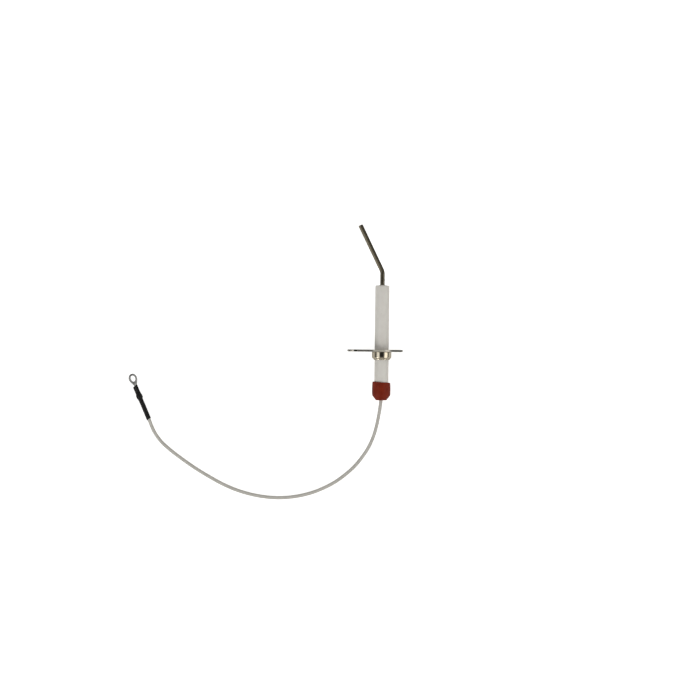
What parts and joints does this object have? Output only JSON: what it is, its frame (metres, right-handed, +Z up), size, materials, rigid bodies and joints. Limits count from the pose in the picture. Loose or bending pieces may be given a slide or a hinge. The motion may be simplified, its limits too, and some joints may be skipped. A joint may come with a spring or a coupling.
{
  "type": "flame sensor probe",
  "caption": "Flame sensing electrode: bent rod in a ceramic tube, crimped into a slotted mounting plate, with a silicone boot and a lead that ends in a ring terminal.",
  "frame": {"origin": "middle of the flat stretch of the mounting plate's lower long edge, under the probe's axis, where the probe rests", "axes": "+X along the mounting plate towards its short wing, +Y along the ceramic tube towards the tip, +Z up from the surface the probe lies on"},
  "size_m": [0.1941, 0.1958, 0.018],
  "materials": {
    "electrode": "oxidised heat-resisting wire, satin",
    "ceramic": "unglazed dense ceramic, satin",
    "cement": "matte refractory cement",
    "plate": "nickel-plated steel, satin",
    "collar": "bright nickel plate, mirror",
    "gasket": "matte mineral packing",
    "silicone": "dark red silicone rubber, matte",
    "spring_steel": "spring steel, satin",
    "tin": "tin-plated copper, satin",
    "terminal": "tin-plated copper, dulled satin",
    "insulation": "pale warm grey silicone rubber, satin",
    "copper": "stranded copper",
    "shrink": "black heat-shrink tubing, satin"
  },
  "bodies": {
    "root": {"electrode_rod": "electrode", "ceramic_tube": "ceramic", "cement_fillet": "cement", "mounting_plate": "plate", "clamp_collar": "collar", "clamp_gasket": "gasket", "boot": "silicone", "retaining_washer": "spring_steel", "splice_ferrule": "tin", "lead_insulation": "insulation", "lead_conductor": "copper", "heat_shrink_sleeve": "shrink", "ring_terminal": "terminal"}
  },
  "joints": []
}
